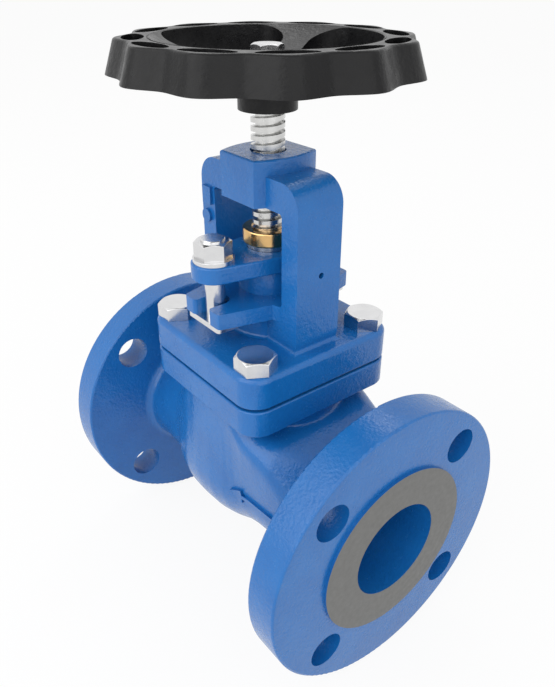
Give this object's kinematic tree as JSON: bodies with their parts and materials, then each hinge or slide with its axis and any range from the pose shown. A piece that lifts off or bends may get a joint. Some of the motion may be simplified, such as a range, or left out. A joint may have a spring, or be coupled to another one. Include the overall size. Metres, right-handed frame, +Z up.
{
  "type": "flanged globe valve",
  "caption": "Cast flanged globe valve with bolted square bonnet, open yoke, slotted gland lugs, rising threaded stem and lobed handwheel; the stem lifts a disc off a seat ring.",
  "frame": {"origin": "centre of the inlet flange's raised face, on the pipe axis", "axes": "+X along the pipe with the flow from inlet to outlet, +Z up the stem to the handwheel"},
  "size_m": [0.203, 0.1524, 0.3009],
  "materials": {
    "cast_paint": "semi-gloss blue paint over sand-cast iron",
    "black_paint": "satin black stove paint",
    "stainless": "turned",
    "bright_steel": "bright turned steel",
    "zinc_steel": "bright zinc plate",
    "brass": "turned brass",
    "bronze": "machined bronze",
    "graphite": "pressed graphite"
  },
  "bodies": {
    "valve": {"valve_body": "cast_paint", "seat_ring": "stainless", "bonnet": "cast_paint", "yoke_bush": "bronze", "bonnet_gasket": "graphite", "bonnet_bolt_1": "zinc_steel", "bonnet_bolt_2": "zinc_steel", "bonnet_bolt_3": "zinc_steel", "bonnet_bolt_4": "zinc_steel", "back_seat_bush": "stainless", "packing_washer": "stainless", "packing_ring_1": "graphite", "packing_ring_2": "graphite", "packing_ring_3": "graphite", "packing_ring_4": "graphite", "packing_ring_5": "graphite", "gland_bolt_1": "zinc_steel", "gland_bolt_2": "zinc_steel"},
    "disc": {"disc": "stainless", "disc_nut": "stainless"},
    "stem": {"stem": "bright_steel", "stop_ring": "brass", "handwheel": "black_paint", "handwheel_washer": "zinc_steel", "handwheel_bolt": "zinc_steel"},
    "gland": {"gland_flange": "cast_paint", "gland_bush": "bright_steel", "gland_washer_1": "zinc_steel", "gland_washer_2": "zinc_steel"},
    "gland_nut_1": {"gland_nut_1": "zinc_steel"},
    "gland_nut_2": {"gland_nut_2": "zinc_steel"}
  },
  "joints": [
    {"name": "disc_lift", "type": "slide", "parent": "valve", "child": "disc", "axis": [0, 0, 1], "range_m": [0, 0.015]},
    {"name": "stem_turn", "type": "hinge", "parent": "disc", "child": "stem", "pos_m": [0.1015, 0, 0.2], "axis": [0, 0, 1], "range_deg": [0, 1349.9]},
    {"name": "gland_slide", "type": "slide", "parent": "valve", "child": "gland", "axis": [0, 0, -1], "range_m": [0, 0.004], "deforming": ["packing_ring_1", "packing_ring_2", "packing_ring_3", "packing_ring_4", "packing_ring_5"]},
    {"name": "gland_nut_1_turn", "type": "hinge", "parent": "gland", "child": "gland_nut_1", "pos_m": [0.1015, 0.033, 0.135], "axis": [0, 0, -1], "range_deg": [0, 960]},
    {"name": "gland_nut_2_turn", "type": "hinge", "parent": "gland", "child": "gland_nut_2", "pos_m": [0.1015, -0.033, 0.135], "axis": [0, 0, -1], "range_deg": [0, 960]}
  ],
  "couplings": [
    {"joint": "disc_lift", "follows": "stem_turn", "m_per_rad": 0.00063662},
    {"joint": "gland_nut_1_turn", "follows": "gland_slide", "rad_per_m": 4188.8},
    {"joint": "gland_nut_2_turn", "follows": "gland_slide", "rad_per_m": 4188.8}
  ]
}
